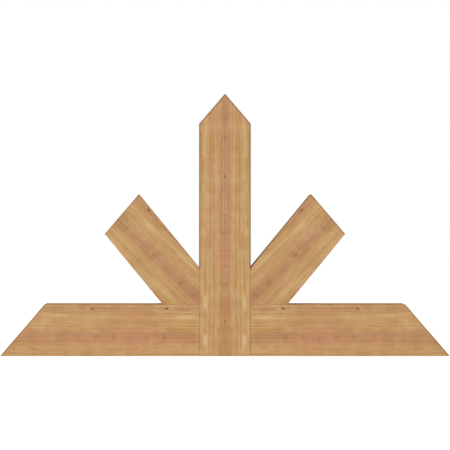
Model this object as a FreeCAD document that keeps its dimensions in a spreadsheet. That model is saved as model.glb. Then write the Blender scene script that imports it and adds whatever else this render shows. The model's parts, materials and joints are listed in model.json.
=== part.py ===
"""Decorative gable truss: a king post, a bottom chord in two halves and two struts of planed timber.

The timbers are butted and held by blind hardwood dowels. Millimetres, +Z up, front towards -Y, and the
origin in the middle of the underside. The right-hand pieces are drawn, and the left-hand ones mirror them.
"""

import FreeCAD
import Part
import Sketcher

import enum
import os

# Driving dimensions: alias, value, what it measures.
SIZES = (
    ("span", 1219.2, "overall width, tip to tip of the bottom chord"),
    ("roof_rise", 14.0, "rise of the roof line over one roof_run"),
    ("roof_run", 12.0, "run of the roof line for one roof_rise"),
    ("timber_depth", 139.7, "front to back of every timber"),
    ("post_face", 139.7, "width of the king post seen from the front"),
    ("chord_face", 139.7, "height of the bottom chord seen from the front"),
    ("strut_face", 139.7, "width of a strut seen from the front, square to its length"),
    ("strut_aim_drop", 10.9, "how far below the chord's top a strut's centre line meets the post's side"),
    ("edge_ease", 1.6, "radius of the eased long edges of a timber"),
    ("dowel_diameter", 19.05, "outside of a dowel, over its flutes"),
    ("dowel_length", 101.6, "end to end of a dowel, half of it in each timber"),
    ("dowel_chamfer", 1.6, "chamfer round a dowel's ends"),
    ("dowel_pitch", 70.0, "centre to centre of neighbouring dowels in one joint"),
    ("flute_count", 6, "glue flutes round a dowel"),
    ("flute_depth", 0.8, "depth of one glue flute, which is a right-angled groove"),
    ("bore_clearance", 0.1, "gap round a dowel in its bore, which the glue fills"),
    ("bore_end_gap", 1.5, "gap past a dowel's end in its bore"),
    ("drill_point", 118.0, "angle of the drill's point at a bore's end, in degrees"),
)

# The roof line, and the open stretch of it from the post's shoulder to the chord's top corner.
PITCH = "(sizes.roof_rise / sizes.roof_run)"
HALF_SPAN = "(sizes.span / 2)"
HALF_POST = "(sizes.post_face / 2)"
CHORD_TOP = "(sizes.chord_face)"
HEIGHT = f"({HALF_SPAN} * {PITCH})"
SHOULDER_HEIGHT = f"({HEIGHT} - {HALF_POST} * {PITCH})"
END_CUT_RUN = f"({CHORD_TOP} / {PITCH})"
CHORD_CORNER = f"({HALF_SPAN} - {END_CUT_RUN})"
OPEN_RUN = f"({CHORD_CORNER} - {HALF_POST})"

# A strut: its centre line starts in the middle of the open roof line and is aimed near the inner corner.
SEAT_X = f"({HALF_POST} + {OPEN_RUN} / 2)"
SEAT_Z = f"({CHORD_TOP} + {OPEN_RUN} * {PITCH} / 2)"
AIM_Z = f"({CHORD_TOP} - sizes.strut_aim_drop)"
STRUT_SLOPE = f"atan(({SEAT_Z} - {AIM_Z}) / ({SEAT_X} - {HALF_POST}))"
SEAT_HALF_RUN = f"(sizes.strut_face / 2 / sin({STRUT_SLOPE} + atan({PITCH})) * cos(atan({PITCH})))"
POST_LEG = f"(sizes.strut_face / 2 / cos({STRUT_SLOPE}) - sizes.strut_aim_drop)"
CHORD_LEG = f"(sizes.strut_face / 2 / sin({STRUT_SLOPE}) + sizes.strut_aim_drop / tan({STRUT_SLOPE}))"

# The dowels and their bores.
DOWEL_RADIUS = "(sizes.dowel_diameter / 2)"
HALF_DOWEL = "(sizes.dowel_length / 2)"
FLUTE_ROOT = f"({DOWEL_RADIUS} - sizes.flute_depth)"
FLUTE_OUTER = f"({DOWEL_RADIUS} + sizes.flute_depth)"
HALF_PITCH = "(sizes.dowel_pitch / 2)"
BORE_DIAMETER = "(sizes.dowel_diameter + 2 * sizes.bore_clearance)"
BORE_DEPTH = f"({HALF_DOWEL} + sizes.bore_end_gap)"
CHORD_DOWEL_Z = f"({CHORD_TOP} / 2)"
STRUT_DOWEL_Z = f"({CHORD_TOP} + {POST_LEG} / 2)"
STRUT_DOWEL_X = f"({HALF_POST} + {CHORD_LEG} / 2)"

UPRIGHT = FreeCAD.Vector(0, 0, 1)
SIDEWAYS = FreeCAD.Vector(1, 0, 0)
FRONT_TO_BACK = FreeCAD.Vector(0, 1, 0)
PARALLEL_TOLERANCE = 1e-6
FULL_TURN = 360
QUARTER_TURN = 90
OUT_FOLDER = "parts"


class Spot(enum.IntEnum):
    """The points of a line or a circle that a constraint can hold, by their numbers in a sketch."""

    START = 1
    END = 2
    CENTRE = 3


class Axis(enum.IntEnum):
    """A sketch's own axes, by their numbers as its geometry."""

    ACROSS = -1
    UP = -2


START, END, CENTRE = Spot
ORIGIN_POINT = (Axis.ACROSS, START)


class Drawing:
    """The document, its sheet of sizes and the steps that the pieces share."""

    def __init__(self):
        self.doc = FreeCAD.newDocument("gable_truss")
        self.sheet = self.doc.addObject("Spreadsheet::Sheet", "sizes")
        for row, (alias, value, meaning) in enumerate(SIZES, 1):
            self.sheet.set(f"A{row}", meaning)
            self.sheet.set(f"B{row}", str(value))
            self.sheet.setAlias(f"B{row}", alias)
        self.doc.recompute()

    def number(self, expression):
        """The value of an expression of the sheet's sizes."""
        return float(self.sheet.evalExpression(expression))

    def point(self, x, y):
        """A sketch point from two expressions."""
        return FreeCAD.Vector(self.number(x), self.number(y), 0)

    def body(self, label):
        """An empty body with that label."""
        made = self.doc.addObject("PartDesign::Body", label)
        made.Label = label
        return made

    def sketch(self, body, name, plane, offset=None):
        """A sketch on one of the body's origin planes, lifted along its normal by an expression."""
        made = body.newObject("Sketcher::SketchObject", name)
        made.AttachmentSupport = [(origin_feature(body, plane), "")]
        made.MapMode = "FlatFace"
        if offset:
            made.setExpression("AttachmentOffset.Base.z", offset)
        return made

    def outline(self, sketch, corners):
        """Lines round the corners, joined end to end. Returns each line's index."""
        points = [self.point(*corner) for corner in corners]
        lines = [
            sketch.addGeometry(Part.LineSegment(here, there), False)
            for here, there in zip(points, points[1:] + points[:1])
        ]
        for line, following in zip(lines, lines[1:] + lines[:1]):
            constrain(sketch, ("Coincident", line, END, following, START))
        return lines

    def circle(self, sketch, x, y, diameter):
        """A circle at the point that two expressions give. Returns its index."""
        ring = Part.Circle(self.point(x, y), UPRIGHT, self.number(diameter) / 2)
        return sketch.addGeometry(ring, False)

    def drive(self, sketch, name, expression, kind, *where):
        """A dimension on the sketch that follows an expression."""
        index = sketch.addConstraint(Sketcher.Constraint(kind, *where, self.number(expression)))
        sketch.renameConstraint(index, name)
        sketch.setExpression(f"Constraints.{name}", expression)

    def place(self, sketch, name, point, x, y):
        """Holds a point of the sketch where two expressions say, measured from the origin."""
        self.drive(sketch, f"{name}_x", x, "DistanceX", *ORIGIN_POINT, *point)
        self.drive(sketch, f"{name}_y", y, "DistanceY", *ORIGIN_POINT, *point)

    def timber(self, body, sketch, grain):
        """The outline as a solid of the timber's depth, with the four edges along the grain eased."""
        blank = body.newObject("PartDesign::Pad", "blank")
        blank.Profile = sketch
        blank.SideType = "Symmetric"
        blank.setExpression("Length", "sizes.timber_depth")
        self.doc.recompute()
        long_edges = [
            f"Edge{n}" for n, edge in enumerate(blank.Shape.Edges, 1)
            if edge.tangentAt(edge.FirstParameter).cross(grain).Length < PARALLEL_TOLERANCE
        ]
        eased = body.newObject("PartDesign::Fillet", "eased_edges")
        eased.Base = (blank, long_edges)
        eased.setExpression("Radius", "sizes.edge_ease")
        self.doc.recompute()

    def paired_centres(self, body, name, offset, *heights):
        """Bore centres on an upright plane: a pair at each height, one before and one behind the middle."""
        sketch = self.sketch(body, name, "YZ_Plane", offset)
        rings = []
        for row, height in enumerate(heights):
            front = self.circle(sketch, f"-{HALF_PITCH}", height, BORE_DIAMETER)
            back = self.circle(sketch, HALF_PITCH, height, BORE_DIAMETER)
            centres = (front, CENTRE, back, CENTRE)
            constrain(sketch, ("Symmetric", *centres, Axis.UP))
            self.drive(sketch, f"pitch_{row}", "sizes.dowel_pitch", "DistanceX", *centres)
            self.drive(sketch, f"height_{row}", height, "DistanceY", *ORIGIN_POINT, back, CENTRE)
            rings += [front, back]
        for ring in rings[1:]:
            constrain(sketch, ("Equal", rings[0], ring))
        self.drive(sketch, "bore", BORE_DIAMETER, "Diameter", rings[0])
        return sketch

    def single_centre(self, body, name, offset, x):
        """One bore centre on a level plane, in the middle of the timber's depth."""
        sketch = self.sketch(body, name, "XY_Plane", offset)
        ring = self.circle(sketch, x, "0", BORE_DIAMETER)
        constrain(sketch, ("PointOnObject", ring, CENTRE, Axis.ACROSS))
        self.drive(sketch, "along", x, "DistanceX", *ORIGIN_POINT, ring, CENTRE)
        self.drive(sketch, "bore", BORE_DIAMETER, "Diameter", ring)
        return sketch

    def bore(self, body, name, centres, along_normal):
        """Blind dowel bores with a drill's point, from the plane of their centres into the timber."""
        self.doc.recompute()
        whole = body.Shape.Volume
        made = body.newObject("PartDesign::Hole", name)
        made.Profile = centres
        self.doc.recompute()
        made.DepthType = "Dimension"
        made.DrillPoint = "Angled"
        made.Reversed = along_normal
        made.setExpression("Diameter", BORE_DIAMETER)
        made.setExpression("Depth", BORE_DEPTH)
        made.setExpression("DrillPointAngle", "sizes.drill_point")
        self.doc.recompute()
        if body.Shape.Volume >= whole:
            raise RuntimeError(f"{body.Label}: {name} cut nothing")
        return made

    def mirror(self, source, label):
        """The same piece on the other side of the king post."""
        made = self.doc.addObject("Part::Mirroring", label)
        made.Label = label
        made.Source = source
        made.Normal = SIDEWAYS
        return made


def origin_feature(body, role):
    """One of the body's origin planes or axes, by its role."""
    return next(feature for feature in body.Origin.OriginFeatures if feature.Role == role)


def constrain(sketch, *rules):
    """Adds geometric constraints, which hold no number."""
    for kind, *where in rules:
        sketch.addConstraint(Sketcher.Constraint(kind, *where))


def king_post(drawing):
    """The upright, pointed along both roof slopes and bored on both sides for chord and strut dowels."""
    body = drawing.body("king_post")
    sketch = drawing.sketch(body, "post_front", "XZ_Plane")
    corners = (
        (f"-{HALF_POST}", "0"),
        (f"-{HALF_POST}", SHOULDER_HEIGHT),
        ("0", HEIGHT),
        (HALF_POST, SHOULDER_HEIGHT),
        (HALF_POST, "0"),
    )
    left_side, left_cut, right_cut, right_side, foot = drawing.outline(sketch, corners)
    constrain(
        sketch,
        ("Vertical", left_side),
        ("Vertical", right_side),
        ("Symmetric", foot, START, foot, END, Axis.UP),
        ("PointOnObject", foot, START, Axis.ACROSS),
        ("PointOnObject", left_cut, END, Axis.UP),
        ("Horizontal", left_cut, START, right_cut, END),
    )
    drawing.drive(sketch, "width", "sizes.post_face", "DistanceX", foot, END, foot, START)
    drawing.drive(sketch, "height", HEIGHT, "DistanceY", *ORIGIN_POINT, left_cut, END)
    drawing.drive(sketch, "shoulder", SHOULDER_HEIGHT, "DistanceY", *ORIGIN_POINT, right_cut, END)
    drawing.timber(body, sketch, UPRIGHT)
    centres = drawing.paired_centres(body, "side_centres", HALF_POST, CHORD_DOWEL_Z, STRUT_DOWEL_Z)
    right_bores = drawing.bore(body, "side_bores", centres, along_normal=False)
    both_sides = body.newObject("PartDesign::Mirrored", "bores_both_sides")
    both_sides.Originals = [right_bores]
    both_sides.MirrorPlane = (origin_feature(body, "YZ_Plane"), [""])
    body.Tip = both_sides
    return body


def right_chord(drawing):
    """Half of the bottom chord: square against the post, its outer end cut to the roof slope."""
    body = drawing.body("right_chord")
    sketch = drawing.sketch(body, "chord_front", "XZ_Plane")
    corners = (
        (HALF_POST, "0"),
        (HALF_SPAN, "0"),
        (CHORD_CORNER, CHORD_TOP),
        (HALF_POST, CHORD_TOP),
    )
    underside, end_cut, top, butt = drawing.outline(sketch, corners)
    constrain(
        sketch,
        ("PointOnObject", underside, START, Axis.ACROSS),
        ("Horizontal", underside),
        ("Horizontal", top),
        ("Vertical", butt),
    )
    drawing.drive(sketch, "inner_end", HALF_POST, "DistanceX", *ORIGIN_POINT, underside, START)
    drawing.drive(sketch, "tip", HALF_SPAN, "DistanceX", *ORIGIN_POINT, underside, END)
    drawing.drive(sketch, "height", CHORD_TOP, "DistanceY", butt, END, butt, START)
    drawing.drive(sketch, "end_cut_run", END_CUT_RUN, "DistanceX", end_cut, END, end_cut, START)
    drawing.timber(body, sketch, SIDEWAYS)
    post_centres = drawing.paired_centres(body, "post_centres", HALF_POST, CHORD_DOWEL_Z)
    drawing.bore(body, "post_bores", post_centres, along_normal=True)
    strut_centre = drawing.single_centre(body, "strut_centre", CHORD_TOP, STRUT_DOWEL_X)
    drawing.bore(body, "strut_bore", strut_centre, along_normal=False)
    return body


def right_strut(drawing):
    """A slanting timber: its head cut to the roof slope, its foot cut to sit on the chord and the post."""
    body = drawing.body("right_strut")
    sketch = drawing.sketch(body, "strut_front", "XZ_Plane")
    corners = (
        (f"{SEAT_X} - {SEAT_HALF_RUN}", f"{SEAT_Z} + {SEAT_HALF_RUN} * {PITCH}"),
        (f"{SEAT_X} + {SEAT_HALF_RUN}", f"{SEAT_Z} - {SEAT_HALF_RUN} * {PITCH}"),
        (f"{HALF_POST} + {CHORD_LEG}", CHORD_TOP),
        (HALF_POST, CHORD_TOP),
        (HALF_POST, f"{CHORD_TOP} + {POST_LEG}"),
    )
    seat, lower, chord_cut, post_cut, upper = drawing.outline(sketch, corners)
    shoulder = drawing.point(HALF_POST, SHOULDER_HEIGHT)
    chord_corner = drawing.point(CHORD_CORNER, CHORD_TOP)
    roof_line = sketch.addGeometry(Part.LineSegment(shoulder, chord_corner), True)
    head = drawing.point(SEAT_X, SEAT_Z)
    aim = drawing.point(HALF_POST, AIM_Z)
    centre_line = sketch.addGeometry(Part.LineSegment(aim, head), True)
    constrain(
        sketch,
        ("Symmetric", roof_line, START, roof_line, END, centre_line, END),
        ("PointOnObject", seat, START, roof_line),
        ("Symmetric", seat, START, seat, END, centre_line, END),
        ("Parallel", lower, centre_line),
        ("Parallel", upper, centre_line),
        ("Horizontal", chord_cut),
        ("Vertical", post_cut),
    )
    drawing.place(sketch, "shoulder", (roof_line, START), HALF_POST, SHOULDER_HEIGHT)
    drawing.place(sketch, "chord_corner", (roof_line, END), CHORD_CORNER, CHORD_TOP)
    drawing.place(sketch, "aim", (centre_line, START), HALF_POST, AIM_Z)
    drawing.place(sketch, "inner_corner", (post_cut, START), HALF_POST, CHORD_TOP)
    drawing.drive(sketch, "width", "sizes.strut_face", "Distance", seat, START, lower)
    up_the_strut = head - aim
    grain = FreeCAD.Vector(up_the_strut.x, 0, up_the_strut.y).normalize()
    drawing.timber(body, sketch, grain)
    post_centres = drawing.paired_centres(body, "post_centres", HALF_POST, STRUT_DOWEL_Z)
    drawing.bore(body, "post_bores", post_centres, along_normal=True)
    chord_centre = drawing.single_centre(body, "chord_centre", CHORD_TOP, STRUT_DOWEL_X)
    drawing.bore(body, "chord_bore", chord_centre, along_normal=True)
    return body


def dowel(drawing, label):
    """A chamfered pin on the upright axis, its middle at the origin, with glue flutes along its sides."""
    body = drawing.body(label)
    sketch = drawing.sketch(body, "half_section", "XZ_Plane")
    end_radius = f"{DOWEL_RADIUS} - sizes.dowel_chamfer"
    chamfer_start = f"{HALF_DOWEL} - sizes.dowel_chamfer"
    corners = (
        ("0", f"-{HALF_DOWEL}"),
        (end_radius, f"-{HALF_DOWEL}"),
        (DOWEL_RADIUS, f"-({chamfer_start})"),
        (DOWEL_RADIUS, chamfer_start),
        (end_radius, HALF_DOWEL),
        ("0", HALF_DOWEL),
    )
    bottom, low_chamfer, side, high_chamfer, top, axis = drawing.outline(sketch, corners)
    constrain(
        sketch,
        ("Horizontal", bottom),
        ("Horizontal", top),
        ("PointOnObject", axis, START, Axis.UP),
        ("PointOnObject", axis, END, Axis.UP),
        ("Symmetric", side, START, side, END, Axis.ACROSS),
        ("Symmetric", low_chamfer, START, high_chamfer, END, Axis.ACROSS),
    )
    drawing.drive(sketch, "radius", DOWEL_RADIUS, "DistanceX", *ORIGIN_POINT, side, START)
    drawing.drive(sketch, "length", "sizes.dowel_length", "DistanceY", axis, END, axis, START)
    chamfer_ends = (low_chamfer, START, low_chamfer, END)
    drawing.drive(sketch, "chamfer_in", "sizes.dowel_chamfer", "DistanceX", *chamfer_ends)
    drawing.drive(sketch, "chamfer_up", "sizes.dowel_chamfer", "DistanceY", *chamfer_ends)
    pin = body.newObject("PartDesign::Revolution", "pin")
    pin.Profile = sketch
    pin.ReferenceAxis = (sketch, ["V_Axis"])
    pin.Angle = FULL_TURN
    groove = drawing.sketch(body, "flute_section", "XY_Plane")
    corners = (
        (FLUTE_ROOT, "0"),
        (FLUTE_OUTER, "-2 * sizes.flute_depth"),
        (FLUTE_OUTER, "2 * sizes.flute_depth"),
    )
    one_flank, mouth, other_flank = drawing.outline(groove, corners)
    constrain(
        groove,
        ("PointOnObject", one_flank, START, Axis.ACROSS),
        ("Symmetric", mouth, START, mouth, END, Axis.ACROSS),
        ("Perpendicular", one_flank, other_flank),
    )
    drawing.drive(groove, "root", FLUTE_ROOT, "DistanceX", *ORIGIN_POINT, one_flank, START)
    drawing.drive(groove, "outer", FLUTE_OUTER, "DistanceX", *ORIGIN_POINT, mouth, START)
    drawing.doc.recompute()
    plain = body.Shape.Volume
    flute = body.newObject("PartDesign::Pocket", "flute")
    flute.Profile = groove
    flute.SideType = "Symmetric"
    flute.setExpression("Length", "sizes.dowel_length")
    flutes = body.newObject("PartDesign::PolarPattern", "flutes")
    flutes.Originals = [flute]
    flutes.Axis = (origin_feature(body, "Z_Axis"), [""])
    flutes.Angle = FULL_TURN
    flutes.setExpression("Occurrences", "sizes.flute_count")
    body.Tip = flutes
    drawing.doc.recompute()
    if body.Shape.Volume >= plain:
        raise RuntimeError(f"{label}: the flutes cut nothing")
    return body


def dowel_pair(drawing, label, height):
    """Two level dowels side by side, from the king post into the timber on its right."""
    body = dowel(drawing, label)
    pair = body.newObject("PartDesign::LinearPattern", "front_and_back")
    pair.TransformMode = "Whole shape"
    pair.Direction = (origin_feature(body, "Y_Axis"), [""])
    pair.setExpression("Length", "sizes.dowel_pitch")
    pair.Occurrences = 2
    body.Tip = pair
    body.Placement = FreeCAD.Placement(FreeCAD.Vector(), FreeCAD.Rotation(FRONT_TO_BACK, QUARTER_TURN))
    body.setExpression("Placement.Base.x", HALF_POST)
    body.setExpression("Placement.Base.y", f"-{HALF_PITCH}")
    body.setExpression("Placement.Base.z", height)
    return body


def upright_dowel(drawing, label):
    """One dowel from the chord up into the strut's foot."""
    body = dowel(drawing, label)
    body.setExpression("Placement.Base.x", STRUT_DOWEL_X)
    body.setExpression("Placement.Base.z", CHORD_TOP)
    return body


def check(drawing, pieces):
    """Stops if any step failed or any piece has no sound solid."""
    for item in drawing.doc.Objects:
        if {"Invalid", "Error"} & set(item.State):
            raise RuntimeError(f"{item.Label} failed: {item.State}")
    for piece in pieces:
        if piece.Shape.isNull() or not piece.Shape.isValid() or not piece.Shape.Solids:
            raise RuntimeError(f"{piece.Label} has no sound solid")


def main():
    """Draws every piece, checks them and writes one file for each."""
    drawing = Drawing()
    right_hand = (
        right_chord(drawing),
        right_strut(drawing),
        dowel_pair(drawing, "right_chord_dowels", CHORD_DOWEL_Z),
        dowel_pair(drawing, "right_strut_post_dowels", STRUT_DOWEL_Z),
        upright_dowel(drawing, "right_strut_chord_dowel"),
    )
    pieces = [king_post(drawing)]
    for piece in right_hand:
        pieces += [piece, drawing.mirror(piece, piece.Label.replace("right", "left"))]
    drawing.doc.recompute()
    check(drawing, pieces)
    os.makedirs(OUT_FOLDER, exist_ok=True)
    for piece in pieces:
        piece.Shape.exportStep(os.path.join(OUT_FOLDER, f"{piece.Label}.step"))
        print(f"{piece.Label}: {len(piece.Shape.Solids)} solid(s), {piece.Shape.Volume / 1000:.1f} cm3")


main()
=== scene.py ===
"""Dresses the decorative gable truss: planed cedar timbers on beech dowels, in a plain white studio.

Metres, +Z up, front towards -Y. Grain sizes are in millimetres, as a joiner gives them.
"""

from __future__ import annotations

import json
import logging
import math
from collections.abc import Mapping, Sequence
from dataclasses import dataclass, field
from enum import Enum
from typing import Any

import bpy
import numpy as np
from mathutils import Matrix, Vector

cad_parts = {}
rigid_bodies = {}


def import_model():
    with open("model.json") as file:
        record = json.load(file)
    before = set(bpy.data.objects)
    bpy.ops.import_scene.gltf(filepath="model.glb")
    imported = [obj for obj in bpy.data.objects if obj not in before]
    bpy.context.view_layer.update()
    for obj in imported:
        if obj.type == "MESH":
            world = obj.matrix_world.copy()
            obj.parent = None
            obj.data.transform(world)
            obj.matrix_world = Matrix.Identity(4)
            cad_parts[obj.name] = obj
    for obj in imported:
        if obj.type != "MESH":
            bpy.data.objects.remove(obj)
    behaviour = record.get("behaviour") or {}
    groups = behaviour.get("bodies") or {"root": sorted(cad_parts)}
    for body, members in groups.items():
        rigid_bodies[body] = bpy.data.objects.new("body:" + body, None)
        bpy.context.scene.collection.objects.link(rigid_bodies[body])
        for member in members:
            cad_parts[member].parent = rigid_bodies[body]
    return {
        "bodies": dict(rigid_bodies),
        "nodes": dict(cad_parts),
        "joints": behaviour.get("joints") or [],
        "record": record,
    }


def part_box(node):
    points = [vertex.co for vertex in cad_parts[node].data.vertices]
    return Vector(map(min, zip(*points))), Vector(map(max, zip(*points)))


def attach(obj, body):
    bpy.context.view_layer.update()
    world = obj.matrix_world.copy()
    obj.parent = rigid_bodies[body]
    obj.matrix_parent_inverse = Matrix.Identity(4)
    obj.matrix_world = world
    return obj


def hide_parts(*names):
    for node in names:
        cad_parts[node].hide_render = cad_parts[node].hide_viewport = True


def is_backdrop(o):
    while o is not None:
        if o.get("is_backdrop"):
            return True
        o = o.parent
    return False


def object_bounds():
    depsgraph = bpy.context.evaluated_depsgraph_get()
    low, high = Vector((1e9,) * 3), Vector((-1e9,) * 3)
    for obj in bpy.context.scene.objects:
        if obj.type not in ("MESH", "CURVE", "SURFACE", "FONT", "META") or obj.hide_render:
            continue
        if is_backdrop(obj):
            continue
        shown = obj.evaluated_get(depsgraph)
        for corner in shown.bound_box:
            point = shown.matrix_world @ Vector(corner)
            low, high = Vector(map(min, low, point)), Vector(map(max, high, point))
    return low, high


LOG = logging.getLogger("gable_truss")
BODY = "root"
MM = 0.001
Socket = bpy.types.NodeSocket
WHITE = (1.0, 1.0, 1.0, 1.0)
# A Mix node repeats its socket names for each type of data, so its colour sockets go by number.
BELOW = 6
ABOVE = 7
MIXED = 2
Corner = tuple[float, float]
# Least and greatest distance from the post's middle, then least and greatest height.
Zone = tuple[float, float, float, float]


def linear(code: str) -> tuple[float, float, float, float]:
    """Turns an sRGB hex colour into linear light.

    Args:
        code: Six hex digits, with or without a leading #.

    Returns:
        Red, green, blue and an alpha of 1.
    """
    digits = code.lstrip("#")
    parts = [int(digits[i : i + 2], 16) / 255 for i in (0, 2, 4)]
    red, green, blue = (p / 12.92 if p <= 0.04045 else ((p + 0.055) / 1.055) ** 2.4 for p in parts)
    return red, green, blue, 1.0


class Graph:
    """A node tree, with the one call that adds to it."""

    def __init__(self, owner: bpy.types.Material | bpy.types.World) -> None:
        """Takes over the owner's tree and empties it."""
        owner.use_nodes = True
        self.tree = owner.node_tree
        self.tree.nodes.clear()

    def add(
        self, kind: str, links: Mapping[int | str, Any] | None = None, **settings: Any
    ) -> bpy.types.Node:
        """Adds one node.

        Args:
            kind: Blender's name for the node, after ShaderNode.
            links: For each input, the socket that feeds it or the plain value that it holds.
            settings: Properties of the node itself.

        Returns:
            The new node.
        """
        node = self.tree.nodes.new(f"ShaderNode{kind}")
        for name, value in settings.items():
            setattr(node, name, value)
        for key, source in (links or {}).items():
            if isinstance(source, Socket):
                self.tree.links.new(source, node.inputs[key])
            else:
                node.inputs[key].default_value = source
        return node


class Tone(Enum):
    """Colours of planed cedar: growth from the pith out, then lines, tints, stains and knots, with
    painted sheen across the grain and painted shade along the edges.
    """

    PITH = "#A87B54"
    HEART = "#B2825A"
    RUST = "#B78658"
    ROSE = "#BC8A5F"
    TAN = "#BD8F5D"
    HONEY = "#C3975F"
    PALE_HONEY = "#C99F67"
    LATE_WOOD = "#8A6130"
    # Dark and pale streaks, also used for the flecks and the painted sheen.
    DARK_STREAK_AND_SHEEN = "#9D733B"
    PALE_STREAK_AND_SHEEN = "#DABC8E"
    BLUSH = "#C98F6B"
    STRAW = "#C2A26B"
    HEART_STAIN = "#B47F60"
    CREAM = "#D4B787"
    RED_BROWN = "#9C6C48"
    PIN_KNOT = "#8A5F3C"
    KNOT = "#6B3D1E"
    CRACK = "#4A2E18"
    # Painted shade: a dark brown line laid along the exposed arrises and the edges of the cut ends.
    HANDLED = "#4E3110"
    CUT_END = "#D3C4B4"

    @property
    def light(self) -> tuple[float, float, float, float]:
        """The colour in linear light."""
        return linear(self.value)


@dataclass(frozen=True)
class Stretch:
    """A soft pattern drawn out along the grain, with its patch size in millimetres.

    Offset moves it, so that two patterns in one timber don't share their patches.
    """

    along: float
    across: float
    depth: float | None = None
    offset: float = 0.0
    detail: float = 2.0

    def pattern(self, wood: Wood) -> Socket:
        """Adds smooth noise, one cell of which is one patch.

        Args:
            wood: The cedar to draw it in, whose figure moves it as well.

        Returns:
            The noise, from 0 to 1.
        """
        move = wood.figure.shift + self.offset
        cell = (1 / self.along, 1 / self.across, 1 / (self.depth or self.across))
        links = {0: wood.grain, 1: cell, 2: (move, move, move)}
        scaled = wood.graph.add("VectorMath", links, operation="MULTIPLY_ADD")
        links = {"Vector": scaled.outputs[0], "Scale": 1.0, "Detail": self.detail}
        return wood.graph.add("TexNoise", links).outputs["Fac"]


# Depths of the front and back faces from a pith that isn't sunk, in millimetres.
FRONT = -35.0
BACK = 104.7


@dataclass(frozen=True)
class Mark:
    """A knot, stain, hairline or crack: an egg-shaped spot in the solid wood.

    Sizes are half lengths in millimetres, and places are from the pith. The spot keeps its strength out
    to core, a share of its size, and fades from there. It may bend the rings round it, and one with no
    strength does only that. One that is on the ends shows on cut ends alone.
    """

    along: float
    across: float
    long: float
    wide: float
    tone: Tone = Tone.HONEY
    strength: float = 0.0
    depth: float = FRONT
    deep: float = 14.0
    core: float = 0.3
    bend: float = 0.0
    on_ends: bool = False


@dataclass(frozen=True)
class EdgeShade:
    """How far painted shade darkens one kind of timber's edges, from 0 to 1.

    Whole holds for all its edges. The others are shares of it, on the upper arrises, the lower ones and
    the edge of the cut end at its start.
    """

    whole: float = 1.0
    top: float = 1.0
    low: float = 1.0
    start: float = 0.6


@dataclass(frozen=True)
class Figure:
    """One kind of timber's own grain and edges: where its pith runs, the marks on it and its painted
    edge shade.

    The pith runs 35 mm behind the front face, and deeper by sunk. It leans by lean degrees from the
    timber's edges, and passes across, from the face's middle, at crossing, from the timber's start.
    These lengths are in millimetres. Shift moves the patterns, so that no other kind shares them.
    """

    name: str
    shift: float
    across: float = 0.0
    sunk: float = 0.0
    lean: float = 0.0
    crossing: float = 0.0
    book_matched: bool = False
    edge_shade: EdgeShade = EdgeShade()
    marks: tuple[Mark, ...] = ()

    def grain(self, along: np.ndarray, across: np.ndarray, behind: np.ndarray) -> np.ndarray:
        """Places seen from the pith: turned by the lean, moved to it, and folded if book matched.

        Args:
            along: Distances from the timber's start, in metres.
            across: Distances from the face's middle, in metres.
            behind: Distances behind the front face, in metres.

        Returns:
            One row of along, across and depth in millimetres for each point.
        """
        turn = math.radians(self.lean)
        run = along / MM - self.crossing
        side = across / MM - self.across
        down = run * math.cos(turn) - side * math.sin(turn) + self.crossing
        out = run * math.sin(turn) + side * math.cos(turn)
        if self.book_matched:
            out = np.abs(out)
        return np.stack([down, out, behind / MM + FRONT - self.sunk], axis=-1)


POST_FIGURE = Figure(
    name="post",
    shift=3.7,
    sunk=1.0,
    book_matched=True,
    marks=(
        Mark(70, 0, 75, 30, bend=1.6),
        Mark(5, 0, 36, 30, bend=1.6),
        Mark(500, 0, 75, 30, bend=-0.9),
        Mark(640, 26, 60, 26, Tone.BLUSH, 0.5, core=0.2),
        Mark(290, 0, 85, 48, Tone.BLUSH, 0.4, core=0.2),
        Mark(400, 18, 70, 12, Tone.BLUSH, 0.22),
        Mark(490, 0, 130, 15, Tone.HEART, 0.4, core=0.2),
        Mark(300, 0, 120, 10, Tone.HEART_STAIN, 0.5),
        Mark(660, 2, 60, 12, Tone.HEART_STAIN, 0.8),
        Mark(60, 0, 110, 10, Tone.HEART_STAIN, 0.25),
        Mark(140, 3, 40, 8, Tone.HEART_STAIN, 0.3),
        Mark(642, 0, 6, 7, Tone.PIN_KNOT, 0.3),
        Mark(592, 0, 5, 12, Tone.PIN_KNOT, 0.35),
        Mark(487, 0, 9, 3.6, Tone.PIN_KNOT, 0.9),
        Mark(382, 0, 5, 12, Tone.PIN_KNOT, 0.35),
        Mark(335, 0, 6, 10, Tone.PIN_KNOT, 0.35),
        Mark(286, 13, 5, 6, Tone.PIN_KNOT, 0.3),
        Mark(243, 0, 5, 12, Tone.PIN_KNOT, 0.3),
        Mark(195, 0, 6, 10, Tone.PIN_KNOT, 0.4),
        Mark(94, 0, 9, 3.6, Tone.PIN_KNOT, 0.8),
        Mark(298, 46, 56, 1.6, Tone.RED_BROWN, 0.5),
        Mark(42, 53, 26, 9, Tone.CREAM, 0.75),
        Mark(145, 53, 30, 9, Tone.CREAM, 0.7),
        Mark(457, 58, 22, 6, Tone.CREAM, 0.3),
        Mark(570, 57, 55, 6, Tone.CREAM, 0.35),
        Mark(410, 36, 7, 5, Tone.KNOT, 0.9, BACK, bend=4.0),
        Mark(170, 18, 6, 4, Tone.KNOT, 0.8, BACK, bend=3.0),
        Mark(350, 18, 900, 17, Tone.CRACK, 0.8, depth=1, deep=0.9, core=0.5, on_ends=True),
    ),
)
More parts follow.
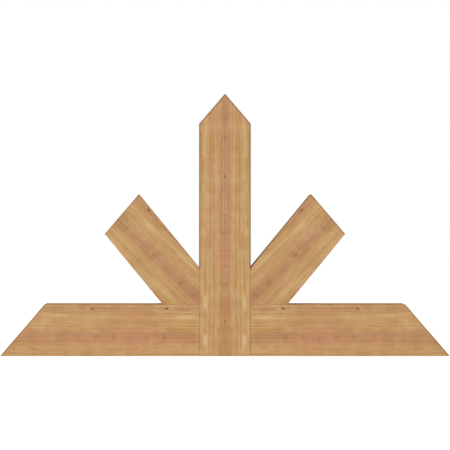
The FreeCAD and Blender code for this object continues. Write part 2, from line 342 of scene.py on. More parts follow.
CHORD_FIGURE = Figure(
    name="chord",
    shift=11.3,
    across=-19.9,
    sunk=0.5,
    edge_shade=EdgeShade(whole=0.6, top=0.3, low=0.75),
    marks=(
        Mark(187, 30, 75, 95, Tone.BLUSH, 0.28, deep=40),
        Mark(250, 0, 400, 20, Tone.BLUSH, 0.2, core=0.6),
        Mark(187, -27, 62, 14, Tone.BLUSH, 0.3, core=0.2),
        Mark(187, 66, 62, 22, Tone.ROSE, 0.4, core=0.2),
        Mark(65, 37, 75, 15, Tone.PALE_HONEY, 0.6, core=0.1),
        Mark(323, -31, 90, 14, Tone.PALE_HONEY, 0.5, core=0.1),
        Mark(320, 37, 90, 15, Tone.PALE_HONEY, 0.45, core=0.1),
        Mark(187, 0, 60, 18, Tone.HEART_STAIN, 0.4, core=0.1),
        Mark(281, 0, 12, 15, Tone.PIN_KNOT, 0.34, core=0.1),
        Mark(232, 0, 11, 17, Tone.PIN_KNOT, 0.28, core=0.1),
        Mark(187, 0, 5, 22, Tone.PIN_KNOT, 0.18, core=0.0),
        Mark(142, 0, 11, 17, Tone.PIN_KNOT, 0.3, core=0.1),
        Mark(93, 0, 12, 15, Tone.PIN_KNOT, 0.36, core=0.1),
        Mark(42, 76, 46, 1.7, Tone.RED_BROWN, 0.7),
        Mark(74, 79, 12, 3.5, Tone.CREAM, 0.5),
        Mark(303, 79, 12, 3.5, Tone.CREAM, 0.4),
        Mark(36, 55, 46, 10, Tone.CREAM, 0.75, core=0.0),
        Mark(375, 60, 52, 9, Tone.CREAM, 0.5, core=0.0),
        Mark(290, 78.5, 6.5, 3.6, Tone.KNOT, 0.75, bend=2.0),
        Mark(88, 78.5, 6.5, 3.6, Tone.KNOT, 0.95, bend=2.0),
        Mark(345, 55, 36, 16, bend=3.0),
        Mark(205, 42, 60, 14, bend=-4.0),
        Mark(350, 12, 8, 5, Tone.KNOT, 0.9, BACK, bend=4.0),
        Mark(120, -22, 6, 4, Tone.KNOT, 0.8, BACK, bend=3.0),
        Mark(300, 22, 600, 20, Tone.CRACK, 0.8, depth=1, deep=0.9, core=0.5, on_ends=True),
        Mark(300, 1, 600, 0.9, Tone.CRACK, 0.8, depth=30, deep=28, core=0.5, on_ends=True),
    ),
)
STRUT_FIGURE = Figure(
    name="strut",
    shift=23.9,
    lean=5.65,
    crossing=86.6,
    edge_shade=EdgeShade(whole=0.6, top=0.0, low=0.3),
    marks=(
        Mark(170, 0, 40, 14, Tone.HEART_STAIN, 0.45),
        Mark(65, 0, 30, 14, Tone.HEART_STAIN, 0.45),
        Mark(-30, 0, 36, 16, Tone.HEART_STAIN, 0.6),
        Mark(222, 0, 9, 14, Tone.PIN_KNOT, 0.4, core=0.0),
        Mark(117, 0, 11, 5, Tone.PIN_KNOT, 0.4),
        Mark(13, 0, 9, 14, Tone.PIN_KNOT, 0.4, core=0.0),
        Mark(-36, 0, 8, 14, Tone.PIN_KNOT, 0.35, core=0.0),
        Mark(45, 52, 50, 12, Tone.CREAM, 0.28),
        Mark(178, 45, 32, 9, Tone.CREAM, 0.4),
        Mark(30, -48, 55, 12, Tone.CREAM, 0.3),
        Mark(100, -66, 75, 10, Tone.CREAM, 0.32),
        Mark(235, -55, 60, 10, Tone.CREAM, 0.25),
        Mark(215, 76, 8, 3.6, Tone.KNOT, 0.8, bend=2.0),
        Mark(140, -20, 7, 5, Tone.KNOT, 0.9, BACK, bend=4.0),
        Mark(150, -20, 400, 18, Tone.CRACK, 0.8, depth=1, deep=0.9, core=0.5, on_ends=True),
        Mark(150, 1, 400, 0.9, Tone.CRACK, 0.8, depth=24, deep=22, core=0.5, on_ends=True),
    ),
)


@dataclass(frozen=True)
class Tint:
    """Patches of another colour, with the most that they cover outside the heart and inside it."""

    patch: Stretch
    tone: Tone
    outside: float
    inside: float


class Blend(Enum):
    """How a layer joins the colour under it, by Blender's own name."""

    COVER = "MIX"
    SOAK = "MULTIPLY"


@dataclass(frozen=True)
class Layer:
    """A tone laid over the wood, with the share of it that shows at each place and how it blends."""

    share: Socket
    tone: Tone
    blend: Blend = Blend.COVER


@dataclass
class Wood:
    """What one timber's cedar is worked out from: its node tree, figure, grain and cut ends."""

    graph: Graph
    figure: Figure
    grain: Socket
    ends: Socket


@dataclass(frozen=True)
class PlanedCedar:
    """Cedar planed on four sides and left bare: matt, tan to pink-brown, with fine straight rings.

    The colour is worked out in the solid wood, from the distance to the pith in millimetres, so faces,
    sides and cut ends agree. Rings and streaks are wider than a real cedar's 1 to 2 mm, which would not
    show in the render. Uneven growth, which changes over ring_unevenness, shifts a ring by up to
    ring_drift rings, and a mark bends them out to bend_reach times its size. Streaks, flecks and the
    painted sheen, bands across the grain that stand in for light on fiddleback figure, go from dark to
    pale as their noise goes from darkest through plain to palest.
    """

    bands: tuple[tuple[float, Tone], ...] = (
        (0, Tone.PITH),
        (35.4, Tone.HEART),
        (38.4, Tone.RUST),
        (41.9, Tone.HONEY),
        (48.8, Tone.TAN),
        (53.7, Tone.HONEY),
        (55.8, Tone.TAN),
        (59.4, Tone.HONEY),
        (64.4, Tone.PALE_HONEY),
        (69.5, Tone.HONEY),
        (74.7, Tone.TAN),
        (81.9, Tone.ROSE),
        (86.4, Tone.RUST),
        (91.9, Tone.ROSE),
        (106, Tone.HONEY),
        (113, Tone.PALE_HONEY),
        (120, Tone.TAN),
        (127, Tone.ROSE),
        (138, Tone.HONEY),
    )
    heart_edge: tuple[float, float] = (48.0, 38.0)
    tints: tuple[Tint, ...] = (
        Tint(Stretch(along=60, across=16, offset=2), Tone.STRAW, outside=0.7, inside=0.2),
        Tint(Stretch(along=90, across=24, offset=2), Tone.BLUSH, outside=0.4, inside=0.5),
    )
    tint_range: tuple[float, float] = (0.45, 0.75)
    ring: float = 5.2
    ring_unevenness: float = 15.0
    ring_drift: float = 1.6
    ring_start: float = 0.52
    ring_peak: float = 0.86
    ring_fade: Stretch = Stretch(along=220, across=8, offset=9)
    fade_range: tuple[float, float] = (0.3, 0.65)
    faded_rings: float = 0.25
    heart_rings: float = 0.25
    bend_reach: float = 3.0
    late_share: float = 0.7
    late_share_on_ends: float = 0.85
    waves: tuple[tuple[Stretch, float], ...] = (
        (Stretch(along=600, across=45), 0.8),
        (Stretch(along=150, across=20), 0.4),
    )
    darkest: float = 0.2
    plain: float = 0.5
    palest: float = 0.8
    streak: Stretch = Stretch(along=420, across=2.5, offset=5)
    streak_share: float = 0.5
    vein: Stretch = Stretch(along=380, across=6.5, offset=6)
    vein_share: float = 0.45
    fleck: Stretch = Stretch(along=26, across=4.5, offset=7)
    fleck_share: float = 0.28
    # Painted sheen: soft dark and pale bands across the grain, standing in for light on fiddleback
    # figure.
    painted_sheen: Stretch = Stretch(along=30, across=70, offset=8)
    painted_sheen_share: float = 0.24
    saw_mark: Stretch = Stretch(along=900, across=2.2, depth=70, offset=4)
    # Most that the painted edge shade covers on the arrises.
    handled_share: float = 0.66
    relief: float = 0.3
    relief_strength: float = 0.35
    early_roughness: float = 0.68
    late_roughness: float = 0.56
    end_roughness: float = 0.2
    ior: float = 1.5
    gloss: float = 0.25

    def material(self, figure: Figure) -> bpy.types.Material:
        """Makes the cedar of one kind of timber.

        Args:
            figure: That timber's own grain.

        Returns:
            The material, which reads the attributes grain, end_grain and arris.
        """
        made = bpy.data.materials.new(f"planed_cedar_{figure.name}")
        graph = Graph(made)
        grain = graph.add("Attribute", attribute_name="grain").outputs["Vector"]
        ends = graph.add("Attribute", attribute_name="end_grain").outputs["Fac"]
        wood = Wood(graph, figure, grain, ends)
        spots, radius = self._rings(wood)
        outer, inner = self.heart_edge
        links = {"Value": radius, "From Min": outer, "From Max": inner}
        heart = graph.add("MapRange", links).outputs[0]
        late = self._late_wood(wood, radius, heart)
        streak = self.streak.pattern(wood)
        lines = self._lines(wood, heart, late, streak)
        colour = self._growth(wood, radius)
        for layer in (*self._tints(wood, heart), *lines, *spots, *self._edges(wood)):
            links = {0: layer.share, BELOW: colour, ABOVE: layer.tone.light}
            mix = graph.add("Mix", links, data_type="RGBA", blend_type=layer.blend.value)
            colour = mix.outputs[MIXED]
        links = {"Value": late, "To Min": self.early_roughness, "To Max": self.late_roughness}
        planed = graph.add("MapRange", links).outputs[0]
        links = {0: ends, 1: self.end_roughness, 2: planed}
        rough = graph.add("Math", links, operation="MULTIPLY_ADD").outputs[0]
        links = {
            "Base Color": colour,
            "Roughness": rough,
            "IOR": self.ior,
            "Specular IOR Level": self.gloss,
            "Normal": self._relief(wood, late, streak),
        }
        surface = graph.add("BsdfPrincipled", links)
        graph.add("OutputMaterial", {"Surface": surface.outputs[0]})
        return made

    def _rings(self, wood: Wood) -> tuple[list[Layer], Socket]:
        """Finds the marks and the rings: the distance to the pith wanders slowly, and marks bend it.

        Args:
            wood: The cedar to work on.

        Returns:
            A soft spot for each mark that shows, and the distance to the pith in millimetres.
        """
        graph = wood.graph
        links = {0: wood.grain, 1: (0, 1, 1)}
        flat = graph.add("VectorMath", links, operation="MULTIPLY").outputs[0]
        radius = graph.add("VectorMath", {0: flat}, operation="LENGTH").outputs["Value"]
        for wave, reach in self.waves:
            links = {0: wave.pattern(wood), 1: 2 * reach, 2: -reach}
            moved = graph.add("Math", links, operation="MULTIPLY_ADD").outputs[0]
            radius = graph.add("Math", {0: radius, 1: moved}, operation="ADD").outputs[0]
        spots = []
        for mark in wood.figure.marks:
            links = {0: wood.grain, 1: (mark.along, mark.across, mark.depth)}
            away = graph.add("VectorMath", links, operation="SUBTRACT").outputs[0]
            links = {0: away, 1: (1 / mark.long, 1 / mark.wide, 1 / mark.deep)}
            scaled = graph.add("VectorMath", links, operation="MULTIPLY").outputs[0]
            far = graph.add("VectorMath", {0: scaled}, operation="LENGTH").outputs["Value"]
            if mark.strength:
                links = {"Value": far, "From Min": 1.0, "From Max": mark.core, "To Max": mark.strength}
                share = graph.add("MapRange", links, interpolation_type="SMOOTHSTEP").outputs[0]
                if mark.on_ends:
                    links = {0: share, 1: wood.ends}
                    share = graph.add("Math", links, operation="MULTIPLY").outputs[0]
                spots.append(Layer(share, mark.tone))
            if mark.bend:
                links = {"Value": far, "From Min": self.bend_reach, "From Max": 0.0, "To Max": mark.bend}
                push = graph.add("MapRange", links, interpolation_type="SMOOTHSTEP").outputs[0]
                radius = graph.add("Math", {0: radius, 1: push}, operation="ADD").outputs[0]
        return spots, radius

    def _late_wood(self, wood: Wood, radius: Socket, heart: Socket) -> Socket:
        """Finds the dark late wood, which grows over each ring and stops short.

        Each ring has its own strength. The lines fade here and there along the grain, and on the faces
        they are faint over the heart.

        Args:
            wood: The cedar to work on.
            radius: Distance to the pith.
            heart: 1 in the heart.

        Returns:
            How far late wood shows, from 0 to 1.
        """
        graph = wood.graph
        links = {0: radius, 1: self.ring_unevenness}
        scaled = graph.add("Math", links, operation="DIVIDE").outputs[0]
        odd = graph.add("TexNoise", {"W": scaled, "Scale": 1.0}, noise_dimensions="1D")
        links = {0: odd.outputs["Fac"], 1: self.ring_drift * self.ring, 2: radius}
        shifted = graph.add("Math", links, operation="MULTIPLY_ADD").outputs[0]
        count = graph.add("Math", {0: shifted, 1: self.ring}, operation="DIVIDE").outputs[0]
        part = graph.add("Math", {0: count}, operation="FRACT").outputs[0]
        whole = graph.add("Math", {0: count}, operation="FLOOR").outputs[0]
        links = {"Value": part, "From Min": self.ring_start, "From Max": self.ring_peak}
        rise = graph.add("MapRange", links, interpolation_type="SMOOTHSTEP")
        links = {"Value": part, "From Min": 1.0, "From Max": self.ring_peak}
        fall = graph.add("MapRange", links, interpolation_type="SMOOTHSTEP")
        fade = self.ring_fade.pattern(wood)
        faint, clear = self.fade_range
        links = {"Value": fade, "From Min": faint, "From Max": clear, "To Min": self.faded_rings}
        faded = graph.add("MapRange", links)
        links = {"Value": heart, "To Min": 1.0, "To Max": self.heart_rings}
        kept = graph.add("MapRange", links).outputs[0]
        shown = graph.add("Math", {0: kept, 1: wood.ends}, operation="MAXIMUM")
        late = graph.add("TexWhiteNoise", {"W": whole}, noise_dimensions="1D").outputs["Value"]
        for factor in (rise, fall, faded, shown):
            links = {0: late, 1: factor.outputs[0]}
            late = graph.add("Math", links, operation="MULTIPLY").outputs[0]
        return late

    def _growth(self, wood: Wood, radius: Socket) -> Socket:
        """Colours the wood by its distance to the pith.

        Args:
            wood: The cedar to work on.
            radius: Distance to the pith.

        Returns:
            The colour.
        """
        last = self.bands[-1][0]
        share = wood.graph.add("Math", {0: radius, 1: last}, operation="DIVIDE").outputs[0]
        ramp = wood.graph.add("ValToRGB", {0: share})
        stops = ramp.color_ramp.elements
        while len(stops) < len(self.bands):
            stops.new(1.0)
        for stop, (place, tone) in zip(stops, self.bands):
            stop.position = place / last
            stop.color = tone.light
        return ramp.outputs[0]

    def _tints(self, wood: Wood, heart: Socket) -> list[Layer]:
        """Soft patches of other colours.

        Args:
            wood: The cedar to work on.
            heart: 1 in the heart.

        Returns:
            One layer for each tint.
        """
        graph = wood.graph
        start, full = self.tint_range
        layers = []
        for tint in self.tints:
            links = {"Value": heart, "To Min": tint.outside, "To Max": tint.inside}
            most = graph.add("MapRange", links).outputs[0]
            patch = tint.patch.pattern(wood)
            links = {"Value": patch, "From Min": start, "From Max": full, "To Max": most}
            layers.append(Layer(graph.add("MapRange", links).outputs[0], tint.tone))
        return layers

    def _lines(self, wood: Wood, heart: Socket, late: Socket, streak: Socket) -> list[Layer]:
        """Dark veins along the heart and late wood, then dark and pale streaks, flecks and painted
        sheen.

        Args:
            wood: The cedar to work on.
            heart: 1 in the heart.
            late: How far late wood shows.
            streak: The noise of the streaks.

        Returns:
            The layers, from the lowest up.
        """
        graph = wood.graph
        veined = graph.add("Math", {0: heart, 1: self.vein_share}, operation="MULTIPLY").outputs[0]
        links = {"Value": wood.ends, "To Min": self.late_share, "To Max": self.late_share_on_ends}
        most = graph.add("MapRange", links).outputs[0]
        ringed = graph.add("Math", {0: late, 1: most}, operation="MULTIPLY").outputs[0]
        vein = self.vein.pattern(wood)
        links = {"Value": vein, "From Min": self.plain, "From Max": self.darkest, "To Max": veined}
        share = graph.add("MapRange", links).outputs[0]
        layers = [Layer(share, Tone.RED_BROWN), Layer(ringed, Tone.LATE_WOOD)]
        for noise, most in (
            (streak, self.streak_share),
            (self.fleck.pattern(wood), self.fleck_share),
            # Painted sheen bands across the grain.
            (self.painted_sheen.pattern(wood), self.painted_sheen_share),
        ):
            for peak, tone in ((self.darkest, Tone.DARK_STREAK_AND_SHEEN), (self.palest, Tone.PALE_STREAK_AND_SHEEN)):
                links = {"Value": noise, "From Min": self.plain, "From Max": peak, "To Max": most}
                layers.append(Layer(graph.add("MapRange", links).outputs[0], tone))
        return layers

    def _edges(self, wood: Wood) -> list[Layer]:
        """Cut ends, which drink in more light and look darker, and painted shade along the arrises, a
        browner edge line.

        Args:
            wood: The cedar to work on.

        Returns:
            One layer for each.
        """
        # Painted shade along the arrises, browner than the face.
        arris = wood.graph.add("Attribute", attribute_name="arris").outputs["Fac"]
        links = {0: arris, 1: self.handled_share}
        share = wood.graph.add("Math", links, operation="MULTIPLY").outputs[0]
        return [Layer(wood.ends, Tone.CUT_END, Blend.SOAK), Layer(share, Tone.HANDLED)]

    def _relief(self, wood: Wood, late: Socket, streak: Socket) -> Socket:
        """Hollows planed faces along the late wood, and scores cut ends with the saw's fine lines.

        Args:
            wood: The cedar to work on.
            late: How far late wood shows.
            streak: The noise of the streaks.

        Returns:
            The normal.
        """
        graph = wood.graph
        planed = graph.add("Math", {0: streak, 1: late}, operation="SUBTRACT").outputs[0]
        links = {0: self.saw_mark.pattern(wood), 1: wood.ends, 2: planed}
        height = graph.add("Math", links, operation="MULTIPLY_ADD").outputs[0]
        links = {"Strength": self.relief_strength, "Distance": self.relief * MM, "Height": height}
        return graph.add("Bump", links).outputs[0]


class Way(Enum):
    """Which way a dowel lies, by the number of its axis."""

    LEVEL = 0
    UPRIGHT = 2


@dataclass(frozen=True)
class TurnedBeech:
    """Turned beech rod: pale pinkish tan and close grained, with darker ray flecks 5 mm long."""

    ground: str = "#D2B087"
    fleck: str = "#B98F63"
    fleck_length: float = 5.0
    fleck_width: float = 0.8
    fleck_detail: float = 2.0
    fleck_range: tuple[float, float] = (0.5, 0.7)
    fleck_share: float = 0.8
    relief: float = 0.1
    relief_strength: float = 0.3
    roughness: float = 0.55
    ior: float = 1.5

    def material(self, way: Way) -> bpy.types.Material:
        """Makes the beech of dowels that lie one way.

        Args:
            way: Which way they lie.

        Returns:
            The material, on Object coordinates.
        """
        made = bpy.data.materials.new(f"turned_beech_{way.name.lower()}")
        graph = Graph(made)
        cells = [1 / (self.fleck_width * MM)] * 3
        cells[way.value] = 1 / (self.fleck_length * MM)
        place = graph.add("TexCoord").outputs["Object"]
        scaled = graph.add("VectorMath", {0: place, 1: cells}, operation="MULTIPLY").outputs[0]
        links = {"Vector": scaled, "Scale": 1.0, "Detail": self.fleck_detail}
        fleck = graph.add("TexNoise", links).outputs["Fac"]
        start, full = self.fleck_range
        links = {"Value": fleck, "From Min": start, "From Max": full, "To Max": self.fleck_share}
        share = graph.add("MapRange", links).outputs[0]
        links = {0: share, BELOW: linear(self.ground), ABOVE: linear(self.fleck)}
        colour = graph.add("Mix", links, data_type="RGBA").outputs[MIXED]
        links = {"Strength": self.relief_strength, "Distance": self.relief * MM, "Height": fleck}
        normal = graph.add("Bump", links).outputs[0]
        links = {"Base Color": colour, "Roughness": self.roughness, "IOR": self.ior, "Normal": normal}
        surface = graph.add("BsdfPrincipled", links)
        graph.add("OutputMaterial", {"Surface": surface.outputs[0]})
        return made


@dataclass(frozen=True)
class WhiteSweep:
    """Matt white studio floor with a glow of its own, so that it meets the white background unseen.

    The glow is weaker out to near, in metres, where the truss's soft shadow shows.
    """

    paint: str = "#F4F3F0"
    scuff: str = "#ECEBE7"
    scuff_size: float = 140.0
    roughness: float = 0.9
    near: float = 0.8
    far: float = 3.0
    near_glow: float = 0.5
    far_glow: float = 0.9

    def material(self, name: str) -> bpy.types.Material:
        """Makes the floor's paint, with faint wide scuffs and a glow that grows towards the rim.

        Args:
            name: The material's name.

        Returns:
            The material, on Object coordinates.
        """
        made = bpy.data.materials.new(name)
        graph = Graph(made)
        place = graph.add("TexCoord").outputs["Object"]
        links = {"Vector": place, "Scale": 1 / (self.scuff_size * MM)}
        scuff = graph.add("TexNoise", links).outputs["Fac"]
        links = {0: scuff, BELOW: linear(self.paint), ABOVE: linear(self.scuff)}
        colour = graph.add("Mix", links, data_type="RGBA").outputs[MIXED]
        out = graph.add("VectorMath", {0: place}, operation="LENGTH").outputs["Value"]
        links = {
            "Value": out,
            "From Min": self.near,
            "From Max": self.far,
            "To Min": self.near_glow,
            "To Max": self.far_glow,
        }
        glow = graph.add("MapRange", links, interpolation_type="SMOOTHSTEP").outputs[0]
        links = {
            "Base Color": colour,
            "Roughness": self.roughness,
            "Emission Color": WHITE,
            "Emission Strength": glow,
        }
        surface = graph.add("BsdfPrincipled", links)
        graph.add("OutputMaterial", {"Surface": surface.outputs[0]})
        return made


class Hand(Enum):
    """Which side of the post a timber is on, as the sign of its X."""

    RIGHT = 1
    LEFT = -1


def made_mesh(name: str, points: np.ndarray, quads: np.ndarray) -> bpy.types.Mesh:
    """Puts points and four-sided faces into a new mesh.

    Args:
        name: The mesh's name.
        points: One row of x, y and z for each vertex, in metres.
        quads: One row of four vertex numbers for each face.

    Returns:
        The mesh.
    """
    mesh = bpy.data.meshes.new(name)
    mesh.from_pydata(points.tolist(), [], quads.tolist())
    return mesh


def shown_object(name: str, mesh: bpy.types.Mesh) -> bpy.types.Object:
    """Links a new object, at the origin.

    Args:
        name: The object's name.
        mesh: Its mesh.

    Returns:
        The object.
    """
    piece = bpy.data.objects.new(name, mesh)
    bpy.context.scene.collection.objects.link(piece)
    return piece


def hoops(rows: int, sides: int) -> np.ndarray:
    """Faces between rows of points that each go round once, with each row joined to the one after it.

    Args:
        rows: How many rows there are.
        sides: How many points are in each row.

    Returns:
        One row of four vertex numbers for each face.
    """
    base = np.arange(rows - 1)[:, None] * sides + np.arange(sides)[None, :]
    after = np.roll(base, -1, axis=1)
    return np.stack([base, after, after + sides, base + sides], axis=-1).reshape(-1, 4)


def disc(sides: int) -> np.ndarray:
    """Faces that fill one row of points that goes round once: strips from one side to the other."""
    ring = np.arange(sides // 2 - 1)
    return np.stack([ring, ring + 1, sides - 2 - ring, sides - 1 - ring], axis=-1)


@dataclass
class DowelBores:
    """The blind bores that the dowels sit in, as one mesh that is cut out of every timber."""

    level_nodes: tuple[str, ...]
    upright_nodes: tuple[str, ...]
    clearance: float = 0.1 * MM
    end_gap: float = 1.5 * MM
    drill_point: float = 118.0
    chisel_edge: float = 0.4 * MM
    sides: int = 48

    def cutter(self) -> bpy.types.Object:
        """Builds all the bores.

        Returns:
            An object that isn't a piece of the truss, to be removed after use.
        """
        shells = []
        for node in self.level_nodes:
            low, high = (np.array(corner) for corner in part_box(node))
            radius = (high[2] - low[2]) / 2
            for y in (low[1] + radius, high[1] - radius):
                centre = np.array([(low[0] + high[0]) / 2, y, low[2] + radius])
                shells.append(self._bore(centre, (high[0] - low[0]) / 2, radius, Way.LEVEL))
        for node in self.upright_nodes:
            low, high = (np.array(corner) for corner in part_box(node))
            half = (high - low) / 2
            shells.append(self._bore((low + high) / 2, half[2], half[0], Way.UPRIGHT))
        count = len(shells[0])
        start = disc(self.sides)
        finish = start + count - self.sides
        quads = np.concatenate([hoops(count // self.sides, self.sides), start[:, ::-1], finish])
        every = np.concatenate([quads + count * i for i in range(len(shells))])
        return shown_object("dowel_bores", made_mesh("dowel_bores", np.concatenate(shells), every))

    def _bore(self, centre: np.ndarray, half: float, radius: float, way: Way) -> np.ndarray:
        """A drill's profile turned about its axis: point, shank, shank, point.

        Args:
            centre: The dowel's middle.
            half: Half of the dowel's length.
            radius: The dowel's radius.
            way: Which way it lies.

        Returns:
            Vertices, one round after the other.
        """
        wide = radius + self.clearance
        flat = half + self.end_gap
        tip = flat + wide / math.tan(math.radians(self.drill_point / 2))
        along = np.array([-tip, -flat, flat, tip])[:, None]
        out = np.array([self.chisel_edge, wide, wide, self.chisel_edge])[:, None]
        angle = np.linspace(0, 2 * math.pi, self.sides, endpoint=False)[None, :]
        turned = [along + 0 * angle, out * np.cos(angle), out * np.sin(angle)]
        order = {Way.LEVEL: (0, 1, 2), Way.UPRIGHT: (1, 2, 0)}[way]
        return np.stack([turned[k].ravel() for k in order], axis=-1) + centre


@dataclass
class Timber:
    """One straight timber: an eased rectangular section carried along the grain between two cut ends.

    Corners are x and z of the right-hand timber's front outline, from its lower edge to its upper edge.
    Ease is the radius of its arrises, and edge_band is how far from an edge its painted edge shade has
    faded out.
    """

    node: str
    start: Sequence[Corner]
    finish: Sequence[Corner]
    depth: float
    figure: Figure
    joints: Sequence[Zone]
    hand: Hand = Hand.RIGHT
    ease: float = 1.0 * MM
    arris_band: float = 1.05 * MM
    edge_band: float = 4.5 * MM
    end_ease: float = 0.5 * MM
    arc_steps: int = 2
    cell_across: float = 9 * MM
    cell_along: float = 12 * MM
    sharp_angle: float = 30.0

    def __post_init__(self) -> None:
        """Works out the timber's own axes, and both ends as along against across."""
        start = np.array(self.start)
        finish = np.array(self.finish)
        run = finish[0] - start[0]
        self._axis = run / np.linalg.norm(run)
        self._side = np.array([-self._axis[1], self._axis[0]])
        self.face = float((start[-1] - start[0]) @ self._side)
        self._origin = start[0] + self._side * self.face / 2
        self._ends = [self._chain(corners) for corners in (start, finish)]

    def _chain(self, corners: np.ndarray) -> np.ndarray:
        """Corners of one end, as rows of across and along."""
        away = corners - self._origin
        return np.stack([away @ self._side, away @ self._axis], axis=-1)

    def _grid_lines(self, extent: float, breaks: Sequence[float]) -> np.ndarray:
        """Grid lines over one side of the section: close over the arrises, then even between breaks.

        Args:
            extent: The side's length.
            breaks: Places that have a line of their own.

        Returns:
            The lines' places from the side's middle.
        """
        # The two sides that meet at an arris share its arc, and each has it from 45 to 90 degrees.
        bend = math.radians(45) * (1 + np.arange(self.arc_steps + 1) / self.arc_steps)
        arc = -extent / 2 + self.ease * (1 - np.cos(bend))
        inner = extent / 2 - self.edge_band
        stops = np.array([-inner, *breaks, inner])
        counts = np.maximum(np.ceil(np.diff(stops) / self.cell_across), 1).astype(int)
        spans = zip(stops[:-1], stops[1:], counts)
        runs = [np.linspace(low, high, count, endpoint=False) for low, high, count in spans]
        return np.concatenate([arc, *runs, [inner], -arc[::-1]])

    def _drop(self, lines: np.ndarray, extent: float) -> np.ndarray:
        """How far the quarter-round arris falls below the flat: its radius less the circle's height."""
        inside = np.maximum(self.ease - (extent / 2 - np.abs(lines)), 0)
        return self.ease - np.sqrt(self.ease**2 - inside**2)

    def _section(self) -> tuple[np.ndarray, np.ndarray]:
        """The section as a grid, whose border is a rectangle with quarter-round corners.

        Returns:
            Across and depth at each point of the grid.
        """
        breaks = sorted({float(place) for end in self._ends for place in end[1:-1, 0]})
        across_lines = self._grid_lines(self.face, breaks)
        depth_lines = self._grid_lines(self.depth, ())
        across, depth = np.meshgrid(across_lines, depth_lines, indexing="ij")
        across[[0, -1], :] = np.outer((-1, 1), self.face / 2 - self._drop(depth_lines, self.depth))
        depth[:, [0, -1]] = np.outer(self.depth / 2 - self._drop(across_lines, self.face), (-1, 1))
        return across, depth

    def _cut(self, end: np.ndarray, across: np.ndarray) -> tuple[np.ndarray, np.ndarray]:
        """A cut end over places across: how far along it is, and how much longer than square it runs.

        Args:
            end: Corners of the end, as rows of across and along.
            across: Places across the face.

        Returns:
            Along at each place, and the square root of 1 plus the slope squared.
        """
        slope = np.diff(end[:, 1]) / np.diff(end[:, 0])
        stretch = np.sqrt(1 + slope**2)
        facet = np.clip(np.searchsorted(end[:, 0], across) - 1, 0, len(slope) - 1)
        return np.interp(across, end[:, 0], end[:, 1]), stretch[facet]

    def _surface(self) -> tuple[np.ndarray, np.ndarray, np.ndarray, np.ndarray]:
        """The closed skin: along runs evenly from one end's cut to the other's at each place across.

        Returns:
            Rows of along, across and depth, rows of four vertex numbers, 1 for each face of a cut end,
            and the painted edge shade of each vertex on a cut end's edge.
        """
        across, depth = self._section()
        grid = np.arange(across.size).reshape(across.shape)
        rim = np.concatenate([grid[:-1, 0], grid[-1, :-1], grid[:0:-1, -1], grid[0, :0:-1]])
        side = across.ravel()[rim]
        back = depth.ravel()[rim]
        (low, low_stretch), (high, high_stretch) = (self._cut(end, side) for end in self._ends)
        low = low + self.end_ease
        high = high - self.end_ease
        first = low + self.edge_band * low_stretch
        last = high - self.edge_band * high_stretch
        cells = math.ceil(float(np.max(high - low)) / self.cell_along)
        share = np.linspace(0, 1, cells + 1)[:, None]
        run = np.concatenate([[low], first + share * (last - first), [high]])
        skin = np.stack([run, side + 0 * run, back + 0 * run], axis=-1).reshape(-1, 3)
        inset_across = (across * (1 - 2 * self.end_ease / self.face)).ravel()
        inset_depth = (depth * (1 - 2 * self.end_ease / self.depth)).ravel()
        caps = []
        for end in self._ends:
            along = self._cut(end, inset_across)[0]
            caps.append(np.stack([along, inset_across, inset_depth], axis=-1))
        near_cap = len(skin)
        far_cap = near_cap + grid.size
        rows = np.arange(len(skin)).reshape(len(run), -1)
        loops = np.concatenate([[rim + near_cap], rows, [rim + far_cap]])
        walls = loops.ravel()[hoops(*loops.shape)]
        corners = [grid[:-1, :-1], grid[1:, :-1], grid[1:, 1:], grid[:-1, 1:]]
        patch = np.stack(corners, axis=-1).reshape(-1, 4)
        quads = np.concatenate([walls, patch[:, ::-1] + near_cap, patch + far_cap])
        cut = np.concatenate([np.zeros(len(walls)), np.ones(2 * len(patch))])
        # Painted shade on the edges of the cut ends, weaker at the start.
        end_edge_shade = np.zeros(len(skin) + 2 * grid.size)
        end_edge_shade[loops[:2].ravel()] = self.figure.edge_shade.start
        end_edge_shade[loops[-2:].ravel()] = 1
        return np.concatenate([skin, *caps]), quads, cut, end_edge_shade

    def _open(self, flat: np.ndarray) -> np.ndarray:
        """Tells which points are clear of the joints; the painted edge shade is left off in the joints,
        whose groove is shaded already.

        Args:
            flat: One row of x and z for each point.

        Returns:
            1 for each point that is clear of them, and 0 in them.
        """
        out = np.abs(flat[:, 0])
        up = flat[:, 1]
        shut = [
            (out > near) & (out < far) & (up > low) & (up < high) for near, far, low, high in self.joints
        ]
        return 1.0 - np.any(shut, axis=0)

    def build(self, finish: bpy.types.Material, bores: bpy.types.Object) -> None:
        """Makes the timber's piece in place of its CAD node.

        Args:
            finish: The cedar of this kind of timber.
            bores: The dowel bores to cut out.
        """
        local, quads, cut, end_edge_shade = self._surface()
        along, across, depth = local.T
        flat = self._origin + along[:, None] * self._axis + across[:, None] * self._side
        points = np.stack([flat[:, 0] * self.hand.value, depth, flat[:, 1]], axis=-1)
        outward = quads[:, ::-1] if self.hand is Hand.RIGHT else quads
        mesh = made_mesh(f"{self.node}_timber", points, outward)
        edge_shade = self.figure.edge_shade
